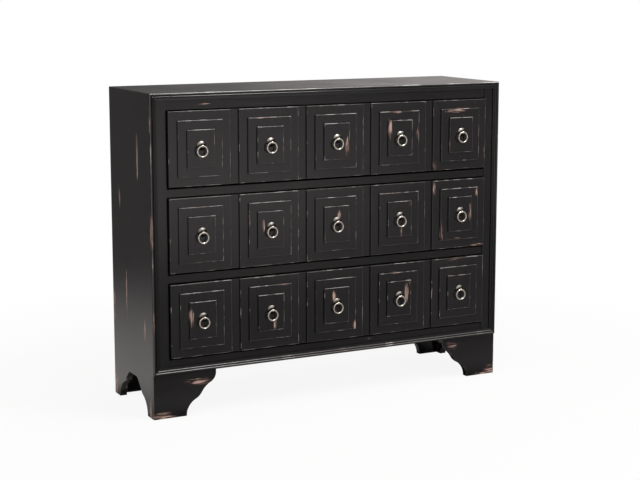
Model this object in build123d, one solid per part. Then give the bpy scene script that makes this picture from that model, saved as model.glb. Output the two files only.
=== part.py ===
from build123d import *
import os

# A floor-standing chest of three wide drawers. Each drawer front carries five stepped panels,
# and each panel a ring pull. The case stands on scrolled bracket feet, and a beaded moulding
# frames its front.
# Sizes are millimetres. X runs along the front, Y from front to back, Z up from the floor.
# The origin is on the floor, under the middle of the whole chest with its pulls.

# Case
case_width = 1070.0
case_depth = 308.0
case_height = 864.0
side_thickness = 19.0
top_thickness = 19.0
bottom_thickness = 19.0
back_thickness = 5.0
rabbet_depth = 8.0
corner_ease = 1.5

# Face frame
frame_thickness = 19.0
stile_width = 27.0
bottom_rail_height = 17.5
middle_rail_height = 20.5
top_rail_height = 25.5
rail_recess = 2.0

# Beaded frame moulding
moulding_width = 19.0
moulding_base = 3.25
outer_bead_radius = 3.75
inner_bead_radius = 2.75
quirk_width = 1.2
quirk_depth = 1.0

# Bracket feet and the arch in each side panel
foot_height = 120.0
foot_thickness = 19.0
foot_lip = 7.0
front_foot_sole = 93.0
front_foot_reach = 179.0
back_foot_sole = 80.0
back_foot_reach = 166.0
arch_rise = 89.0
arch_flat = 59.0
side_front_sole = 47.0
side_back_sole = 42.0
block_size = 25.0
block_lift = 10.0

# Where each scroll passes from one arc to the next, as shares of its run and its rise
foot_scroll = ((0.314, 0.389), (0.523, 0.540), (0.814, 0.752), (1.0, 1.0))
arch_scroll = ((0.438, 0.551), (0.575, 0.640), (1.0, 1.0))

# Drawer fronts
row_names = ("lower", "middle", "upper")
front_thickness = 18.0
front_proud = 5.0
side_gap = 2.5
top_gap = 3.0
bottom_gap = 6.5
panel_count = 5
strip_width = 25.0
step_count = 3
step_width = 24.5
step_rise = 5.0
step_ease = 1.5

# Drawer boxes
box_thickness = 12.0
box_drop = 40.0
floor_thickness = 5.0
floor_lift = 10.0
groove_depth = 5.0
rear_gap = 12.0

# Runners
runner_play = 0.3
guide_play = 0.5
guide_height = 30.0
ledge_width = 18.0
ledge_thickness = 12.0
stop_height = 20.0

# Ring pulls
pull_rise = 7.5
rosette_radius = 12.5
rosette_height = 5.5
rosette_rim = 1.5
ring_radius = 14.0
wire_radius = 2.0
ring_play = 0.5
eye_thickness = 4.4
eye_wall = 1.4
eye_standoff = 4.1
neck_radius = 2.1
screw_radius = 2.0
screw_play = 0.3
thread_play = 0.05
screw_bite = 4.5
screw_head_radius = 4.0
screw_head_height = 2.5

# Heights and widths that follow from the sizes above
right = case_width / 2
left = -right
side_inner = left + side_thickness
stile_inner = side_inner + stile_width
under_top = case_height - top_thickness
over_bottom = foot_height + bottom_thickness
row_count = len(row_names)
rails_height = bottom_rail_height + (row_count - 1) * middle_rail_height + top_rail_height
opening_height = (under_top - over_bottom - rails_height) / row_count
row_pitch = opening_height + middle_rail_height
first_opening = over_bottom + bottom_rail_height
front_height = opening_height - top_gap - bottom_gap
front_left = stile_inner + side_gap
panel_width = (-2 * front_left - (panel_count - 1) * strip_width) / panel_count
panel_pitch = panel_width + strip_width

# Depths that follow, from the ring pulls at the front to the back edge of the case
eye_radius = wire_radius + ring_play + eye_wall
eye_offset = rosette_height + eye_standoff
pull_reach = front_proud + step_count * step_rise + eye_offset + eye_radius
front = -(case_depth - pull_reach) / 2
back = front + case_depth
frame_back = front + frame_thickness
back_inner = back - back_thickness
board_face = front - front_proud
board_back = board_face + front_thickness
panel_face = board_face - step_count * step_rise
box_rear = back_inner - rear_gap
moulding_proud = moulding_base + outer_bead_radius


def block(x0, x1, y0, y1, z0, z1):
    """A square-edged board between two opposite corners."""
    middle = Pos((x0 + x1) / 2, (y0 + y1) / 2, (z0 + z1) / 2)
    return middle * Box(x1 - x0, y1 - y0, z1 - z0)


def from_front(outline, y0, y1):
    """A front-view outline of X and Z, carried from y0 back to y1."""
    return extrude(Plane.XZ.offset(-y0) * make_face(outline), amount=y0 - y1)


def from_side(outline, x0, x1):
    """A side-view outline of Y and Z, carried from x0 across to x1."""
    return extrude(Plane.YZ.offset(x0) * make_face(outline), amount=x1 - x0)


def loop(*corners):
    """Straight edges round the corners and back to the first."""
    return Polyline(*corners, corners[0]).edges()


def scroll(start, run, rise, stations):
    """Tangent arcs that leave the floor upright and climb through shares of the run and rise."""
    arcs = []
    point = start
    heading = (0, 1)
    for across, up in stations:
        end = (start[0] + run * across, start[1] + rise * up)
        arc = TangentArc(point, end, tangent=heading)
        arcs.append(arc.edge())
        point = end
        heading = arc % 1
    return arcs


def mirrored(piece):
    """The same piece on the other end of the chest."""
    return mirror(piece, about=Plane.YZ)


def back_rabbet():
    """The space in the case's back edges that the back panel fills."""
    sunk = side_inner - rabbet_depth
    return block(sunk, -sunk, back_inner, back, foot_height, under_top + rabbet_depth)


def mitre_wedge():
    """Everything above the slanted joint between the left side panel and the top."""
    corners = ((left, case_height), (side_inner, case_height), (side_inner, under_top))
    return from_front(loop(*corners), front, back)


def corner_bevel():
    """The sliver taken off the outer edge where the left side panel meets the top."""
    shoulder = (left + corner_ease, case_height)
    cheek = (left, case_height - corner_ease)
    return from_front(loop((left, case_height), shoulder, cheek), front, back)


def top_panel():
    """Top board, its ends cut to the mitres and its back edge rabbeted."""
    upper = ((left, case_height), (right, case_height))
    lower = ((-side_inner, under_top), (side_inner, under_top))
    panel = from_front(loop(*upper, *lower), front, back)
    return panel - back_rabbet() - corner_bevel() - mirrored(corner_bevel())


def left_side_panel():
    """Full-height side, notched at the front for the bracket foot and arched between its feet."""
    arch_front = front + side_front_sole
    arch_back = back - side_back_sole
    run = (arch_back - arch_front - arch_flat) / 2
    body = Polyline(
        (arch_front, 0),
        (front + foot_thickness, 0),
        (front + foot_thickness, foot_height),
        (front, foot_height),
        (front, case_height),
        (back, case_height),
        (back, 0),
        (arch_back, 0),
    )
    crown = Line((arch_front + run, arch_rise), (arch_back - run, arch_rise))
    climb = scroll((arch_front, 0), run, arch_rise, arch_scroll)
    descent = scroll((arch_back, 0), -run, arch_rise, arch_scroll)
    outline = [*body.edges(), *climb, crown.edge(), *descent]
    return from_side(outline, left, side_inner) - mitre_wedge() - corner_bevel() - back_rabbet()


def bracket_foot(outer, sole, reach, y0, y1):
    """Scrolled bracket board whose outer edge is at outer; sole and reach count from the case's end."""
    rise = foot_height - foot_lip
    square = Polyline(
        (left + reach, rise),
        (left + reach, foot_height),
        (outer, foot_height),
        (outer, 0),
        (left + sole, 0),
    )
    curve = scroll((left + sole, 0), reach - sole, rise, foot_scroll)
    return from_front([*square.edges(), *curve], y0, y1)


def bead_outline(place):
    """Section of the moulding: an outer bead, a smaller inner one and a flat ledge.

    place turns a distance from the strip's outer edge and a height over the case into the sketch.
    """
    groove = 2 * outer_bead_radius
    ledge = groove + 2 * inner_bead_radius
    inner_crest = moulding_base + inner_bead_radius
    flats = Polyline(
        place(ledge, moulding_base),
        place(moulding_width, moulding_base),
        place(moulding_width, 0),
        place(quirk_depth, 0),
        place(quirk_depth, quirk_width),
        place(0, quirk_width),
        place(0, moulding_base),
    )
    outer_bead = ThreePointArc(
        place(0, moulding_base),
        place(outer_bead_radius, moulding_proud),
        place(groove, moulding_base),
    )
    inner_bead = ThreePointArc(
        place(groove, moulding_base),
        place(groove + inner_bead_radius, inner_crest),
        place(ledge, moulding_base),
    )
    return [*flats.edges(), outer_bead.edge(), inner_bead.edge()]


def mitred(strip, *corners):
    """A strip cut to the slanted ends of its place in the frame."""
    return strip & from_front(loop(*corners), front - moulding_proud, front)


def frame_moulding():
    """The four mitred strips round the front of the case."""
    inner = left + moulding_width
    top_outer = ((left, case_height), (right, case_height))
    top_inner = ((-inner, case_height - moulding_width), (inner, case_height - moulding_width))
    base_outer = ((left, foot_height), (right, foot_height))
    base_inner = ((-inner, foot_height + moulding_width), (inner, foot_height + moulding_width))
    head = bead_outline(lambda across, proud: (front - proud, case_height - across))
    base = bead_outline(lambda across, proud: (front - proud, foot_height + across))
    jamb = make_face(bead_outline(lambda across, proud: (left + across, front - proud)))
    upright = extrude(Plane.XY.offset(foot_height) * jamb, amount=case_height - foot_height)
    left_strip = mitred(upright, top_outer[0], top_inner[1], base_inner[1], base_outer[0])
    return {
        "top_moulding": mitred(from_side(head, left, right), *top_outer, *top_inner),
        "left_moulding": left_strip,
        "right_moulding": mirrored(left_strip),
        "base_moulding": mitred(from_side(base, left, right), *base_outer, *base_inner),
    }


def rail(z0, z1):
    """Cross rail of the face frame between two heights."""
    return block(stile_inner, -stile_inner, front + rail_recess, frame_back, z0, z1)


def middle_rail(row):
    """Rail under the opening of a drawer, counted up from the lowest row."""
    z1 = first_opening + row * row_pitch
    return rail(z1 - middle_rail_height, z1)


def front_bottom(row):
    """Height of the lower edge of a drawer front, counted up from the lowest row."""
    return first_opening + row * row_pitch + bottom_gap


def left_runner(row):
    """Guide block beside the drawer, a ledge under its side and a stop behind it."""
    z0 = front_bottom(row) - runner_play
    under = z0 - ledge_thickness
    face = front_left - guide_play
    guide = block(side_inner, face, frame_back, back_inner, under, z0 + guide_height)
    ledge = block(face, face + ledge_width, frame_back, back_inner, under, z0)
    stop_end = front_left + box_thickness
    stop = block(face, stop_end, box_rear + runner_play, back_inner, z0, z0 + stop_height)
    return guide + ledge + stop


def corner_block():
    """Square glue block in the corner behind the left front foot."""
    y0 = front + foot_thickness
    return block(side_inner, side_inner + block_size, y0, y0 + block_size, block_lift, foot_height)


def stepped_panel():
    """One raised panel centred on the origin with its back at y = 0, as shallow square steps."""
    panel = Part()
    for step in range(step_count):
        half_width = panel_width / 2 - step * step_width
        half_height = front_height / 2 - step * step_width
        y = -step * step_rise
        plaque = block(-half_width, half_width, y - step_rise, y, -half_height, half_height)
        panel += fillet(plaque.faces().sort_by(Axis.Y)[0].edges(), step_ease)
    return panel


def across_y(radius, y0, y1):
    """A round bar along Y between two depths."""
    return Pos(0, (y0 + y1) / 2, 0) * Rot(90, 0, 0) * Cylinder(radius, y1 - y0)


def pull_mount():
    """Domed rosette with a ball-shaped eye on a short neck, on a panel face at y = 0 and facing -Y."""
    crown = (0, -rosette_height)
    rim = (rosette_radius, -rosette_rim)
    base = Polyline(crown, (0, 0), (rosette_radius, 0), rim)
    dome_curve = TangentArc(crown, rim, tangent=(1, 0))
    dome = revolve(make_face([*base.edges(), dome_curve.edge()]), Axis.Y)
    eye_place = Pos(0, -eye_offset, 0)
    half = eye_thickness / 2
    flat_sides = block(-half, half, -eye_radius, eye_radius, -eye_radius, eye_radius)
    eye = eye_place * (Sphere(eye_radius) & flat_sides)
    hole = eye_place * Rot(0, 90, 0) * Cylinder(wire_radius + ring_play, 2 * eye_thickness)
    neck = across_y(neck_radius, -eye_offset, 0)
    thread = across_y(screw_radius + thread_play, -screw_bite, 0)
    return dome + neck + eye - hole - thread


def pull_screw():
    """Screw from inside the drawer into the rosette, its head on the back of the front board."""
    span = board_back - panel_face
    head = across_y(screw_head_radius, span, span + screw_head_height)
    return across_y(screw_radius, -screw_bite, span) + head


def pull_ring():
    """Ring hanging in the eye, with the top of its wire in the middle of the hole."""
    return Pos(0, -eye_offset, -ring_radius) * Rot(90, 0, 0) * Torus(ring_radius, wire_radius)


def case_pieces():
    side = left_side_panel()
    foot = bracket_foot(left, front_foot_sole, front_foot_reach, front, front + foot_thickness)
    back_foot = bracket_foot(side_inner, back_foot_sole, back_foot_reach, back - foot_thickness, back)
    stile = block(side_inner, stile_inner, front, frame_back, over_bottom, under_top)
    runners = [left_runner(row) for row in range(row_count)]
    pieces = {
        "top_panel": top_panel(),
        "left_side_panel": side,
        "right_side_panel": mirrored(side),
        "back_panel": back_rabbet(),
        "bottom_panel": block(side_inner, -side_inner, front, back_inner, foot_height, over_bottom),
        "left_stile": stile,
        "right_stile": mirrored(stile),
        "bottom_rail": rail(over_bottom, first_opening),
        "lower_middle_rail": middle_rail(1),
        "upper_middle_rail": middle_rail(2),
        "top_rail": rail(under_top - top_rail_height, under_top),
        "front_left_foot": foot,
        "front_right_foot": mirrored(foot),
        "back_left_foot": back_foot,
        "back_right_foot": mirrored(back_foot),
        "drawer_runners": Compound([*runners, *(mirrored(runner) for runner in runners)]),
        "corner_blocks": Compound([corner_block(), mirrored(corner_block())]),
    }
    return {**pieces, **frame_moulding()}


def drawer_pieces(row, name):
    """Every piece of one drawer, keyed by node name."""
    z0 = front_bottom(row)
    z1 = z0 + front_height
    box_top = z1 - box_drop
    floor_z = z0 + floor_lift
    floor_top = floor_z + floor_thickness
    box_inner = front_left + box_thickness
    floor_edge = box_inner - groove_depth
    pull_z = (z0 + z1) / 2 + pull_rise
    pull_places = [
        Pos(front_left + panel_width / 2 + column * panel_pitch, panel_face, pull_z)
        for column in range(panel_count)
    ]
    to_panel = Pos(0, board_face - panel_face, -pull_rise)
    floor = block(floor_edge, -floor_edge, board_back - groove_depth, box_rear, floor_z, floor_top)
    board = block(front_left, -front_left, board_face, board_back, z0, z1) - floor
    side = block(front_left, box_inner, board_back, box_rear, z0, box_top) - floor
    hole = across_y(screw_radius + screw_play, 0, board_back - panel_face)
    holes = [place * hole for place in pull_places]
    panels = [place * to_panel * stepped_panel() - place * hole for place in pull_places]
    pieces = {
        "front_board": board - holes,
        "stepped_panels": Compound(panels),
        "left_side": side,
        "right_side": mirrored(side),
        "back": block(box_inner, -box_inner, box_rear - box_thickness, box_rear, floor_top, box_top),
        "floor": floor,
        "pull_mounts": Compound([place * pull_mount() for place in pull_places]),
        "pull_screws": Compound([place * pull_screw() for place in pull_places]),
    }
    for column, place in enumerate(pull_places):
        pieces[f"ring_{column + 1}"] = place * pull_ring()
    return {f"{name}_{piece}": shape for piece, shape in pieces.items()}


os.makedirs("parts", exist_ok=True)
nodes = case_pieces()
for row, name in enumerate(row_names):
    nodes.update(drawer_pieces(row, f"{name}_drawer"))
for name, shape in nodes.items():
    export_step(shape, f"parts/{name}.step")
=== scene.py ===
import math

import bpy
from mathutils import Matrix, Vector


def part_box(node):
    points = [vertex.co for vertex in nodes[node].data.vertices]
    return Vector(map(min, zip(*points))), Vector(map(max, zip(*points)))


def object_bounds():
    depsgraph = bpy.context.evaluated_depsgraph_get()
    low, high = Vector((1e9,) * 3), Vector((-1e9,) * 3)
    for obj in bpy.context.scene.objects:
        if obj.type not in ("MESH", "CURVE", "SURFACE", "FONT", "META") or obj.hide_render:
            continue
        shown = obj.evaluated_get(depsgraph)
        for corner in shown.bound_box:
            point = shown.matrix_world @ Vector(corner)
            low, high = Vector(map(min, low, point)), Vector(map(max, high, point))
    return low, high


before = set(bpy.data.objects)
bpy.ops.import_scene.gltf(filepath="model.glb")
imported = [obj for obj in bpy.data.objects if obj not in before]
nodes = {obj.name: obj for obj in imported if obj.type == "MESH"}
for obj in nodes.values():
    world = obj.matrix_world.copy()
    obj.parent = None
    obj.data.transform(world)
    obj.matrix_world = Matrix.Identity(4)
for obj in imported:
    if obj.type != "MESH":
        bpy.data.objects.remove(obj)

cad_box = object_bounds()
drawers = ("upper", "middle", "lower")
panel_count = 5

# View of the front left corner, from above the top
camera_place = (-1.8375, -3.6529, 1.1307)
camera_heading = math.radians(27.05)
camera_dip = math.radians(8.84)
camera_sensor = 36.0
camera_lens = 81.92
camera_shift = -0.04

# Directions, as the object stands
ahead = (0.0, -1.0, 0.0)
backward = (0.0, 1.0, 0.0)
upward = (0.0, 0.0, 1.0)

# Layout of the drawer fronts, in metres
strip_width = 0.025
step_width = 0.0245
step_rise = 0.005
outer_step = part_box("upper_drawer_stepped_panels")[0].y + 2 * step_rise

# Inside the case, the boards are bare behind this depth and above this height
bare_depth = -0.127
bare_height = 0.120

# Colours, as linear light
black_deep = (0.0042, 0.0038, 0.0041, 1.0)
black_faded = (0.0085, 0.0077, 0.0082, 1.0)
# Pale line along edges and beads: rubbed paint, and in places a painted highlight
rubbed_and_highlight_line = (0.5, 0.472, 0.45, 1.0)
bare_pale = (0.38, 0.258, 0.222, 1.0)
bare_deep = (0.14, 0.078, 0.06, 1.0)
box_pale = (0.56, 0.39, 0.23, 1.0)
box_deep = (0.38, 0.235, 0.125, 1.0)
board_pale = (0.36, 0.235, 0.135, 1.0)
board_deep = (0.24, 0.15, 0.085, 1.0)
pewter_bright = (0.9, 0.84, 0.75, 1.0)
pewter_dark = (0.08, 0.065, 0.05, 1.0)
rosette_bright = (0.42, 0.4, 0.365, 1.0)
rosette_dark = (0.02, 0.016, 0.012, 1.0)
steel_bright = (0.62, 0.62, 0.63, 1.0)
steel_dark = (0.4, 0.4, 0.4, 1.0)
floor_pale = (0.7, 0.7, 0.7, 1.0)
plain_white = (1.0, 1.0, 1.0, 1.0)
studio_white = (1.0, 0.955, 0.935, 1.0)

# Half the width of the floor, in metres
floor_half = 30.0

# Scales of the textures, for places in metres
fibre_scale = 420.0
band_scale = 26.0
cloud_scale = 5.0
tint_scale = 11.0
bead_wear_scale = 10.0
edge_wear_scale = 32.0
tarnish_scale = 180.0

# Roughness of the paint where it is smoothest and where it is dullest, and of the metals at their best
paint_satin = (0.15, 0.23)
polished = 0.24
dulled = 0.42

# How strongly the paint mirrors the room, as its index of refraction
plain_gloss = 1.4
foot_gloss = 1.42
frame_gloss = 1.48
side_gloss = 1.5
drawer_gloss = 1.52

# How much of its edges' length gets a pale line of rubbed paint, in places a painted highlight
top_wear = 0.5
side_wear = 0.4
foot_wear = 0.6
board_wear = 0.45
panel_wear = 0.85

# Strips of the moulding. Each gives its grain, the direction that its most rubbed bead faces, how far
# that bead lies within the strip's furthest corner that way, how much of its pale line is drawn, and its
# gloss.
# That pale line is partly rubbed paint and partly a painted highlight.
moulding_strips = (
    ("top", "X", (0.0, -0.7, 0.7), 0.005, 0.9, 1.6),
    ("left", "Z", (-0.7, -0.7, 0.0), 0.005, 0.35, 1.35),
    ("right", "Z", (0.7, -0.7, 0.0), 0.005, 0.4, 1.5),
    ("base", "X", (0.0, -0.8, 0.6), 0.020, 0.5, 1.6),
)

# Rubbed patches on the stepped panels. Each gives the panel, counted from the left, and the step,
# counted from the outside. Then come the patch's middle, as shares of that step's width and height
# from its lower left corner, the patch's width and height, and how far it is rubbed through.
panel_rubs = {
    "upper": (
        (1, 3, 0.45, 0.24, 0.005, 0.018, 0.5),
        (2, 3, 0.98, 0.46, 0.006, 0.034, 0.5),
        (2, 2, 0.30, 0.99, 0.050, 0.005, 0.5),
        (3, 3, 0.90, 0.36, 0.011, 0.046, 1.0),
        (4, 3, 0.07, 0.77, 0.014, 0.052, 1.0),
        (4, 2, 0.42, 0.985, 0.040, 0.007, 0.6),
        (4, 2, 0.97, 0.60, 0.009, 0.044, 0.5),
        (5, 2, 0.38, 0.97, 0.070, 0.013, 0.8),
        (5, 1, 0.03, 0.07, 0.013, 0.038, 0.6),
        (5, 3, 0.02, 0.25, 0.006, 0.048, 0.5),
        (5, 1, 0.60, 0.01, 0.036, 0.007, 0.5),
        (5, 1, 0.99, 0.20, 0.007, 0.044, 0.5),
    ),
    "middle": (
        (1, 3, 0.60, 0.27, 0.006, 0.008, 0.5),
        (1, 2, 0.55, 0.015, 0.030, 0.006, 0.4),
        (1, 1, 0.01, 0.42, 0.006, 0.036, 0.4),
        (2, 3, 0.21, 0.64, 0.008, 0.042, 0.8),
        (2, 2, 0.01, 0.70, 0.007, 0.048, 0.4),
        (3, 3, 0.58, 0.74, 0.011, 0.030, 0.9),
        (3, 3, 0.03, 0.18, 0.007, 0.036, 0.5),
        (4, 3, 0.57, 0.14, 0.008, 0.032, 0.6),
        (4, 2, 0.45, 0.99, 0.044, 0.006, 0.5),
        (4, 3, 0.95, 0.92, 0.010, 0.020, 0.5),
        (5, 1, 0.03, 0.88, 0.012, 0.036, 0.7),
        (5, 2, 0.96, 0.90, 0.012, 0.034, 0.6),
        (5, 3, 0.94, 0.53, 0.010, 0.046, 0.9),
        (5, 2, 0.03, 0.18, 0.009, 0.068, 0.6),
        (5, 2, 0.48, 0.03, 0.030, 0.008, 0.6),
        (5, 1, 0.87, 0.015, 0.046, 0.009, 0.7),
    ),
    "lower": (
        (1, 3, 0.07, 0.57, 0.014, 0.050, 0.9),
        (2, 3, 0.64, 0.17, 0.014, 0.030, 0.8),
        (2, 2, 0.80, 0.99, 0.044, 0.006, 0.6),
        (3, 3, 0.38, 0.76, 0.011, 0.042, 1.0),
        (3, 2, 0.97, 0.08, 0.010, 0.036, 0.9),
        (3, 3, 0.06, 0.08, 0.011, 0.022, 0.5),
        (4, 3, 0.80, 0.65, 0.015, 0.054, 1.0),
        (4, 3, 0.95, 0.94, 0.011, 0.018, 0.5),
        (4, 2, 0.42, 0.99, 0.038, 0.007, 0.6),
        (5, 1, 0.45, 0.985, 0.048, 0.009, 0.5),
        (5, 1, 0.01, 0.50, 0.006, 0.070, 0.5),
        (5, 3, 0.65, 0.985, 0.038, 0.006, 0.4),
    ),
}

# Rubbed patches on the case: the middle and the size of each, in X and Z on the front
# and in Y and Z on the two sides, and how far it is rubbed through
foot_rubs = (
    ((-0.402, 0.090), (0.056, 0.022), 0.9),
    ((-0.428, 0.095), (0.046, 0.012), 0.6),
    ((-0.514, 0.006), (0.062, 0.026), 0.9),
    ((-0.500, 0.000), (0.086, 0.014), 0.8),
    ((0.392, 0.099), (0.044, 0.020), 0.8),
    ((0.520, 0.010), (0.044, 0.034), 0.8),
    ((0.506, 0.003), (0.068, 0.013), 0.7),
)
rail_rubs = (
    ((-0.381, 0.8325), (0.034, 0.006), 0.7),
    ((0.110, 0.1500), (0.028, 0.005), 0.6),
)
moulding_rubs = (
    ((-0.535, 0.790), (0.006, 0.080), 0.5),
    ((-0.535, 0.508), (0.008, 0.100), 1.0),
    ((-0.533, 0.262), (0.006, 0.080), 0.6),
    ((0.535, 0.520), (0.008, 0.060), 0.8),
)
side_rubs = (
    ((-0.044, 0.686), (0.013, 0.120), 1.1),
    ((0.102, 0.568), (0.011, 0.064), 1.0),
    ((0.059, 0.314), (0.010, 0.130), 1.0),
    ((-0.080, 0.232), (0.011, 0.068), 1.0),
    ((-0.136, 0.508), (0.008, 0.090), 0.8),
    ((0.164, 0.252), (0.020, 0.090), 0.9),
    ((0.160, 0.020), (0.036, 0.110), 0.9),
    ((-0.124, 0.002), (0.050, 0.100), 1.0),
)


class Shader:
    """The nodes of one material or world, with short names for those that it is built from."""

    def __init__(self, owner):
        self.owner = owner
        owner.use_nodes = True
        self.tree = owner.node_tree
        self.tree.nodes.clear()

    def node(self, kind, inputs=(), **settings):
        made = self.tree.nodes.new("ShaderNode" + kind)
        for key, value in settings.items():
            setattr(made, key, value)
        for key, value in dict(inputs).items():
            if isinstance(value, bpy.types.NodeSocket):
                self.tree.links.new(value, made.inputs[key])
            else:
                made.inputs[key].default_value = value
        return made

    def place(self):
        """Where a point is on the object, in metres, whatever its body's pose."""
        return self.node("TexCoord").outputs["Object"]

    def normal(self):
        """Which way the surface faces in the room."""
        return self.node("NewGeometry").outputs["Normal"]

    def maths(self, operation, *values):
        return self.node("Math", enumerate(values), operation=operation).outputs[0]

    def vector(self, operation, *values):
        made = self.node("VectorMath", enumerate(values), operation=operation)
        return made.outputs["Value" if operation in ("LENGTH", "DOT_PRODUCT") else "Vector"]

    def split(self, vector):
        """The X, Y and Z of a vector."""
        return self.node("SeparateXYZ", {0: vector}).outputs

    def ease(self, value, low, high, start=0.0, end=1.0):
        """Goes smoothly from start, where value is low, to end, where it is high."""
        ends = {"Value": value, "From Min": low, "From Max": high, "To Min": start, "To Max": end}
        return self.node("MapRange", ends, interpolation_type="SMOOTHSTEP").outputs["Result"]

    def facing(self, normal, toward, low, high, *ends):
        """Eases with how far a surface faces a direction: 1 is straight at it, -1 straight away."""
        return self.ease(self.vector("DOT_PRODUCT", normal, toward), low, high, *ends)

    def noise(self, where, scale, detail=2.0):
        return self.node("TexNoise", {"Vector": where, "Scale": scale, "Detail": detail}).outputs["Fac"]

    def mix(self, factor, under, over):
        """over on top of under, both colours."""
        return self.node("Mix", {0: factor, 6: under, 7: over}, data_type="RGBA").outputs[2]

    def bump(self, height, depth):
        return self.node("Bump", {"Height": height, "Distance": depth}).outputs["Normal"]

    def finish(self, surface, output="OutputMaterial"):
        self.node(output, {"Surface": surface})
        return self.owner

    def principled(self, **inputs):
        named = {key.replace("_", " ").title().replace("Ior", "IOR"): value for key, value in inputs.items()}
        return self.finish(self.node("BsdfPrincipled", named).outputs["BSDF"])


def along(grain, shrink):
    """Factors that stretch a texture along the board's grain."""
    return tuple(shrink if axis == grain else 1.0 for axis in "XYZ")


def fibres(shader, place, grain):
    """Fine lines that follow the grain, and the broad bands of a plank."""
    lines = shader.noise(shader.vector("MULTIPLY", place, along(grain, 0.025)), fibre_scale, 3.0)
    bands = shader.noise(shader.vector("MULTIPLY", place, along(grain, 0.12)), band_scale, 3.0)
    return lines, bands


def rubbed_through(shader, place, rubs):
    """How far the paint is rubbed through, from 0 to 1, in patches with streaks along their length."""
    worn = 0.0
    for axis, way in enumerate("XYZ"):
        lying = [rub for rub in rubs if rub[1][axis] == max(rub[1])]
        if not lying:
            continue
        streaks = shader.noise(shader.vector("MULTIPLY", place, along(way, 0.08)), fibre_scale, 4.0)
        deepest = 0.0
        for middle, size, depth in lying:
            stretch = tuple(2.0 / length if length else 0.0 for length in size)
            offset = shader.vector("MULTIPLY", shader.vector("SUBTRACT", place, middle), stretch)
            rub = shader.ease(shader.vector("LENGTH", offset), 1.6, 0.15, 0.0, depth)
            deepest = shader.maths("MAXIMUM", deepest, rub)
        ragged = shader.maths("MULTIPLY_ADD", shader.maths("SUBTRACT", streaks, 0.5), 3.0, deepest)
        patches = shader.maths("MULTIPLY", shader.ease(ragged, 0.2, 1.15), shader.ease(deepest, 0.0, 0.3))
        worn = shader.maths("MAXIMUM", worn, patches)
    return worn


def broken_line(shader, line, broken, wear, faint):
    """Rubs a line through where broken is high, over more of its length the higher wear is."""
    start = 0.70 - wear * 0.22
    return shader.maths("MULTIPLY", line, shader.ease(broken, start, start + 0.12, faint, 1.0))


def bead_wear_and_highlight(shader, place, wear, toward, reach):
    """A broken pale line along the bead of a moulding that faces a direction and reaches this far that way,
    partly rubbed paint and partly a painted highlight.
    """
    facing = shader.facing(shader.normal(), toward, 0.86, 0.98)
    outermost = shader.ease(shader.vector("DOT_PRODUCT", place, toward), reach - 0.001, reach)
    line = shader.maths("MULTIPLY", facing, outermost)
    return broken_line(shader, line, shader.noise(place, bead_wear_scale, 5.0), wear, 0.4 * wear)


def edge_wear_and_highlight(shader, place, wear, curved, stepped):
    """Broken thin lines along the outer edges of a board, partly rubbed paint and partly a painted highlight.

    A curved board has faces that lie along no axis. The sides of raised steps stay black. Their top
    edges get the pale line most, above all on the inner steps, as a painted highlight, and their left edges
    least, as painted shade.
    """
    normal = shader.normal()
    rounded = shader.node("Bevel", {"Radius": 0.0024}, samples=8).outputs["Normal"]
    if curved:
        flat = shader.vector("DOT_PRODUCT", normal, rounded)
    else:
        sides = shader.split(shader.vector("ABSOLUTE", rounded))
        flat = shader.maths("MAXIMUM", shader.maths("MAXIMUM", sides[0], sides[1]), sides[2])
    outer = shader.node("AmbientOcclusion", {"Distance": 0.004}, samples=8, only_local=True).outputs["AO"]
    turned = shader.ease(shader.maths("SUBTRACT", 1.0, flat), 0.02, 0.12)
    line = shader.maths("MULTIPLY", turned, shader.ease(outer, 0.8, 0.95))
    broken = shader.noise(place, edge_wear_scale, 5.0)
    faint = 0.2 * wear
    # On raised steps the pale line is a painted highlight on top edges, strongest on the inner steps, and is
    # held back on left edges as painted shade
    if stepped:
        front = shader.facing(normal, ahead, 0.5, 0.85)
        top = shader.facing(rounded, upward, 0.1, 0.4)
        left = shader.ease(shader.split(rounded)["X"], -0.1, -0.4)
        line = shader.maths("MULTIPLY", line, shader.maths("MAXIMUM", front, top))
        depth = shader.split(place)["Y"]
        inner = shader.ease(depth, outer_step - 0.0005, outer_step - 0.002, -0.02, 0.07)
        broken = shader.maths("MULTIPLY_ADD", left, -0.07, broken)
        broken = shader.maths("MULTIPLY_ADD", top, inner, broken)
        faint = shader.ease(left, 0.0, 1.0, faint, 0.2 * faint)
    return broken_line(shader, line, broken, wear, faint)


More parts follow.
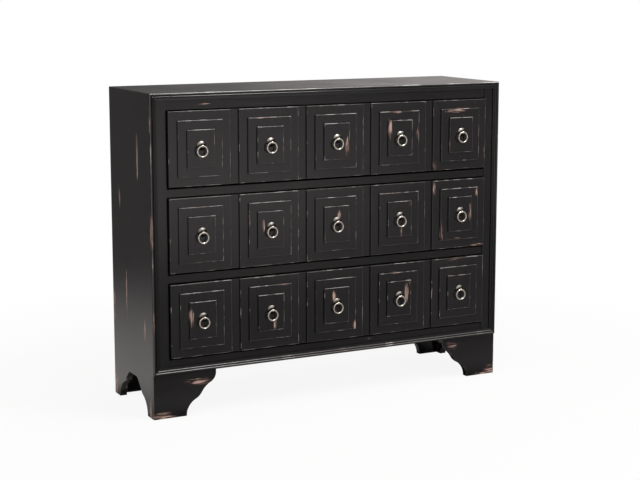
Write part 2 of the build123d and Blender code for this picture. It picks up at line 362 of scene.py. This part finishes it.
def paint(
    name,
    grain,
    rubs=(),
    wear=0.0,
    inside=None,
    curved=False,
    stepped=False,
    bead=None,
    gloss=plain_gloss,
):
    """Satin black paint, rubbed along its edges, with a painted highlight along some of them, and through to
    the wood in patches.

    inside is the direction that faces the inside of the chest, where the boards are left bare.
    bead gives the direction that the most rubbed bead of a moulding faces and how far out it lies; its pale
    line is partly rubbed paint and partly a painted highlight.
    """
    shader = Shader(bpy.data.materials.new(name))
    place = shader.place()
    lines, bands = fibres(shader, place, grain)
    cloud = shader.noise(place, cloud_scale, 4.0)
    tone = shader.maths("ADD", shader.maths("MULTIPLY", cloud, 0.6), shader.maths("MULTIPLY", lines, 0.4))
    colour = shader.mix(shader.ease(tone, 0.3, 0.7), black_deep, black_faded)
    satin = shader.ease(shader.maths("MULTIPLY_ADD", lines, 0.5, cloud), 0.5, 1.0, *paint_satin)
    bare = 0.0
    if wear:
        if bead:
            edge = bead_wear_and_highlight(shader, place, wear, *bead)
        else:
            edge = edge_wear_and_highlight(shader, place, wear, curved, stepped)
        tint = shader.ease(shader.noise(place, tint_scale), 0.55, 0.7, 0.0, 0.2 if bead else 0.6)
        rubbed = shader.mix(tint, rubbed_and_highlight_line, bare_pale)
        # The pale edge line: rubbed paint, and on steps and beads also a painted highlight
        colour = shader.mix(shader.maths("MULTIPLY", edge, 0.85), colour, rubbed)
        bare = edge
    if rubs:
        worn = rubbed_through(shader, place, rubs)
        core = shader.maths("MULTIPLY_ADD", shader.maths("SUBTRACT", lines, 0.5), 1.2, worn)
        wood = shader.mix(shader.ease(core, 0.35, 1.0), bare_deep, bare_pale)
        colour = shader.mix(worn, colour, wood)
        bare = shader.maths("MAXIMUM", bare, worn)
    if inside:
        where = shader.split(place)
        facing = shader.facing(shader.normal(), inside, 0.6, 0.8)
        behind = shader.ease(where["Y"], bare_depth - 0.001, bare_depth + 0.001)
        above = shader.ease(where["Z"], bare_height - 0.002, bare_height + 0.002)
        unpainted = shader.maths("MULTIPLY", facing, shader.maths("MULTIPLY", behind, above))
        figure = shader.maths("MULTIPLY_ADD", bands, 0.6, lines)
        plank = shader.mix(shader.ease(figure, 0.6, 1.0), box_deep, box_pale)
        colour = shader.mix(unpainted, colour, plank)
        bare = shader.maths("MAXIMUM", bare, unpainted)
    return shader.principled(
        base_color=colour,
        roughness=shader.maths("MULTIPLY_ADD", bare, 0.25, satin),
        ior=gloss,
        normal=shader.bump(lines, 0.00012),
    )


def bare_wood(name, grain, pale, deep, blacked=False):
    """Sanded wood with fine fibres and the broad bands of the plank.

    A blacked piece is painted where it faces the gaps around the drawers.
    """
    shader = Shader(bpy.data.materials.new(name))
    place = shader.place()
    lines, bands = fibres(shader, place, grain)
    figure = shader.maths("MULTIPLY_ADD", bands, 0.9, shader.maths("MULTIPLY", lines, 0.6))
    colour = shader.mix(shader.ease(figure, 0.5, 1.0), deep, pale)
    if blacked:
        colour = shader.mix(shader.facing(shader.normal(), ahead, 0.5, 0.8), colour, black_deep)
    return shader.principled(
        base_color=colour,
        roughness=shader.ease(lines, 0.3, 0.7, 0.55, 0.72),
        normal=shader.bump(lines, 0.0002),
    )


def metal(name, bright, dark, hollow, smoothest, eye_back=None):
    """Plated metal, bright where hands and cloths reach it, dark in its hollows and duller on its back.

    A rosette, whose eye starts at eye_back, is also painted darker on its lower side as painted shade,
    leaving a painted highlight toward its upper left, and its eye is as bright as the ring.
    """
    shader = Shader(bpy.data.materials.new(name))
    place = shader.place()
    normal = shader.node("TexCoord").outputs["Normal"]
    open_to_touch = shader.node("AmbientOcclusion", {"Distance": hollow}, samples=8).outputs["AO"]
    tarnish = shader.noise(place, tarnish_scale, 4.0)
    touched = shader.maths("SUBTRACT", open_to_touch, shader.facing(normal, backward, -0.1, 0.5, 0.0, 0.3))
    polish_and_shading = shader.maths("MULTIPLY_ADD", tarnish, 0.35, touched)
    if eye_back:
        # Painted shade on the rosette's lower side, leaving a painted highlight toward its upper left
        polish_and_shading = shader.maths("MULTIPLY", polish_and_shading, shader.facing(normal, (-0.35, 0.0, 0.94), -0.5, 0.68))
    colour = shader.mix(shader.ease(polish_and_shading, 0.6, 1.12), dark, bright)
    roughness = shader.ease(polish_and_shading, 0.6, 1.15, 0.5, smoothest)
    if eye_back:
        eye = shader.ease(shader.split(place)["Y"], eye_back, eye_back - 0.002)
        colour = shader.mix(eye, colour, pewter_bright)
        roughness = shader.ease(eye, 0.0, 1.0, roughness, polished)
    return shader.principled(
        base_color=colour,
        metallic=1.0,
        roughness=roughness,
        normal=shader.bump(tarnish, 0.00015),
    )


def panel_patches(drawer):
    """The rubbed patches of one drawer's panels, as middles and sizes in space."""
    low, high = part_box(f"{drawer}_drawer_stepped_panels")
    panel_width = (high.x - low.x - (panel_count - 1) * strip_width) / panel_count
    patches = []
    for panel, step, across, up, width, height, depth in panel_rubs[drawer]:
        inset = (step - 1) * step_width
        left = low.x + (panel - 1) * (panel_width + strip_width) + inset
        bottom = low.z + inset
        x = left + across * (panel_width - 2 * inset)
        z = bottom + up * (high.z - low.z - 2 * inset)
        patches.append(((x, 0.0, z), (width, 0.0, height), depth))
    return patches


def on_front(rubs):
    """Patches in X and Z, as middles and sizes in space."""
    return [((x, 0.0, z), (width, 0.0, height), depth) for (x, z), (width, height), depth in rubs]


def on_sides(rubs):
    """Patches in Y and Z, as middles and sizes in space."""
    return [((0.0, y, z), (0.0, width, height), depth) for (y, z), (width, height), depth in rubs]


def furthest(name, toward):
    """How far a node reaches in a direction."""
    low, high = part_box(name)
    return sum(max(way * a, way * b) for way, a, b in zip(toward, low, high))


def cover(material, *names):
    """Gives CAD nodes a material."""
    for name in names:
        slots = nodes[name].data.materials
        slots.clear()
        slots.append(material)


def dress_case():
    """Paints the case, and leaves the runners and the back board bare."""
    cover(paint("top_paint", "X", wear=top_wear, inside=(0, 0, -1)), "top_panel")
    for side, inward in (("left", (1, 0, 0)), ("right", (-1, 0, 0))):
        skin = paint(f"{side}_side_paint", "Z", on_sides(side_rubs), side_wear, inward, gloss=side_gloss)
        cover(skin, f"{side}_side_panel")
    cover(paint("bottom_paint", "X", inside=(0, 0, 1)), "bottom_panel")
    rails = ("bottom_rail", "lower_middle_rail", "upper_middle_rail", "top_rail")
    cover(paint("rail_paint", "X", on_front(rail_rubs), inside=backward, gloss=frame_gloss), *rails)
    cover(paint("stile_paint", "Z", inside=backward, gloss=frame_gloss), "left_stile", "right_stile")
    for side, grain, toward, within, wear, gloss in moulding_strips:
        strip = f"{side}_moulding"
        bead = (toward, furthest(strip, toward) - within)
        cover(paint(strip + "_paint", grain, on_front(moulding_rubs), wear, bead=bead, gloss=gloss), strip)
    front_foot = paint("front_foot_paint", "X", on_front(foot_rubs), foot_wear, curved=True, gloss=foot_gloss)
    cover(front_foot, "front_left_foot", "front_right_foot")
    cover(paint("back_foot_paint", "X"), "back_left_foot", "back_right_foot", "corner_blocks")
    cover(bare_wood("runner_wood", "Y", box_pale, box_deep, blacked=True), "drawer_runners")
    cover(bare_wood("back_board", "Z", board_pale, board_deep, blacked=True), "back_panel")


def dress_drawers():
    """Paints the fronts of the drawers, leaves their boxes bare and plates their pulls."""
    board = paint(
        "front_board_paint", "X", wear=board_wear, inside=backward, stepped=True, gloss=drawer_gloss
    )
    side_wood = bare_wood("drawer_side_wood", "Y", box_pale, box_deep)
    back_wood = bare_wood("drawer_back_wood", "X", box_pale, box_deep)
    floor_wood = bare_wood("drawer_floor_board", "X", board_pale, board_deep)
    ring_pewter = metal("ring_pewter", pewter_bright, pewter_dark, 0.003, polished)
    eye_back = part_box("upper_drawer_ring_1")[1].y
    rosette_pewter = metal("rosette_pewter", rosette_bright, rosette_dark, 0.006, dulled, eye_back)
    steel = metal("screw_steel", steel_bright, steel_dark, 0.002, polished)
    for drawer in drawers:
        piece = f"{drawer}_drawer_"
        rubs = panel_patches(drawer)
        panels = paint(f"{drawer}_panel_paint", "Z", rubs, panel_wear, stepped=True, gloss=drawer_gloss)
        cover(board, piece + "front_board")
        cover(panels, piece + "stepped_panels")
        cover(side_wood, piece + "left_side", piece + "right_side")
        cover(back_wood, piece + "back")
        cover(floor_wood, piece + "floor")
        cover(rosette_pewter, piece + "pull_mounts")
        cover(steel, piece + "pull_screws")
        cover(ring_pewter, *(f"{piece}ring_{panel}" for panel in range(1, panel_count + 1)))


def floor_glow(shader, place):
    """How brightly the floor glows in glossy surfaces, as a painted reflection: a painted shadow under the
    object, and dimmer to the front right.
    """
    where = shader.split(place)
    away = shader.vector("LENGTH", place)
    outline = (cad_box[1][0], cad_box[1][1], 0.0)
    beside = shader.split(shader.vector("SUBTRACT", shader.vector("ABSOLUTE", place), outline))
    outside_painted_shadow = shader.ease(shader.maths("MAXIMUM", beside["X"], beside["Y"]), -0.06, 0.12)
    rearward = shader.ease(away, 0.5, 2.4, 0.72, 0.14)
    rising = shader.ease(away, 1.4, 4.0, 0.0, 0.7)
    far = shader.maths("MULTIPLY", rising, shader.ease(away, 7.0, 13.0, 1.0, 0.4))
    near = shader.ease(where["Y"], -0.3, -1.0, 0.21, 0.3)
    sideways = shader.maths("DIVIDE", where["X"], shader.maths("MULTIPLY", where["Y"], -1.0))
    forward = shader.maths("MULTIPLY_ADD", far, shader.ease(sideways, 0.32, 0.7, 1.0, 0.05), near)
    behind = shader.ease(where["Y"], -0.6, 0.0)
    spread = shader.maths("MULTIPLY", shader.maths("SUBTRACT", rearward, forward), behind)
    return shader.maths("MULTIPLY", shader.maths("ADD", forward, spread), outside_painted_shadow)


def lay_floor():
    """A pale floor that keeps the object's shadow and runs out into plain white."""
    corners = [(-1, -1), (1, -1), (1, 1), (-1, 1)]
    mesh = bpy.data.meshes.new("floor")
    mesh.from_pydata([(x * floor_half, y * floor_half, 0.0) for x, y in corners], [], [(0, 1, 2, 3)])
    floor = bpy.data.objects.new("floor", mesh)
    bpy.context.scene.collection.objects.link(floor)
    shader = Shader(bpy.data.materials.new("floor"))
    place = shader.place()
    rays = shader.node("LightPath").outputs
    lit = shader.node("BsdfDiffuse", {"Color": floor_pale}).outputs[0]
    white = shader.node("Emission", {"Color": plain_white}).outputs[0]
    # In glossy surfaces the floor is a painted glow, with a painted shadow under the object
    glow = floor_glow(shader, place)
    mirrored = shader.node("Emission", {"Color": studio_white, "Strength": glow}).outputs[0]
    paleness = shader.ease(shader.vector("LENGTH", place), 0.6, 1.8, 0.9, 1.0)
    seen = shader.maths("MULTIPLY", rays["Is Camera Ray"], paleness)
    shiny = shader.maths("MAXIMUM", rays["Is Glossy Ray"], rays["Is Transmission Ray"])
    plain = shader.node("MixShader", {0: seen, 1: lit, 2: white}).outputs[0]
    surface = shader.node("MixShader", {0: shiny, 1: plain, 2: mirrored}).outputs[0]
    mesh.materials.append(shader.finish(surface))


def light_world():
    """White to the camera. Elsewhere a soft grey room, brighter behind to the right and above the front."""
    shader = Shader(bpy.data.worlds.new("studio"))
    bpy.context.scene.world = shader.owner
    toward = shader.split(shader.node("TexCoord").outputs["Generated"])
    right = shader.ease(toward["X"], 0.3, 0.66)
    right_wall = shader.maths("MULTIPLY", right, shader.ease(toward["Y"], -0.2, 0.6))
    high = shader.ease(toward["Z"], 0.1, 0.5)
    front_ceiling = shader.maths("MULTIPLY", high, shader.ease(toward["Y"], 0.4, 0.0))
    level = shader.maths("MULTIPLY_ADD", front_ceiling, 0.7, 0.14)
    level = shader.maths("MULTIPLY_ADD", right_wall, 0.58, level)
    room = shader.node("Background", {"Color": studio_white, "Strength": level}).outputs[0]
    white = shader.node("Background", {"Color": plain_white}).outputs[0]
    seen = shader.node("LightPath").outputs["Is Camera Ray"]
    shader.finish(shader.node("MixShader", {0: seen, 1: room, 2: white}).outputs[0], "OutputWorld")


def soft_light(name, place, aim, size, power, glossy=False):
    """A softbox, hidden from the camera, which may show in glossy surfaces or not."""
    lamp = bpy.data.lights.new(name, "AREA")
    lamp.shape = "RECTANGLE"
    lamp.size, lamp.size_y = size
    lamp.energy = power
    holder = bpy.data.objects.new(name, lamp)
    holder.location = place
    holder.rotation_mode = "QUATERNION"
    holder.rotation_quaternion = (Vector(aim) - Vector(place)).to_track_quat("-Z", "Y")
    holder.visible_camera = False
    holder.visible_glossy = glossy
    bpy.context.scene.collection.objects.link(holder)


def set_camera():
    data = bpy.data.cameras.new("camera")
    data.sensor_width = camera_sensor
    data.lens = camera_lens
    data.shift_y = camera_shift
    camera = bpy.data.objects.new("camera", data)
    camera.location = camera_place
    camera.rotation_euler = (math.pi / 2 - camera_dip, 0.0, -camera_heading)
    bpy.context.scene.collection.objects.link(camera)
    bpy.context.scene.camera = camera


dress_case()
dress_drawers()
lay_floor()
light_world()
soft_light("overhead", place=(0.6, -1.2, 2.6), aim=(0.2, -0.1, 0.5), size=(0.6, 1.4), power=37.0, glossy=True)
soft_light("key", place=(1.5, -3.0, 0.8), aim=(0.0, 0.0, 0.5), size=(0.6, 0.6), power=36.0)
soft_light("behind", place=(0.8, 3.0, 1.8), aim=(0.0, 0.0, 0.5), size=(1.6, 1.6), power=12.0)
soft_light("fill", place=(-2.6, -0.6, 1.3), aim=(-0.4, 0.0, 0.4), size=(1.2, 1.2), power=18.0)
set_camera()
bpy.context.scene.view_settings.view_transform = "Standard"
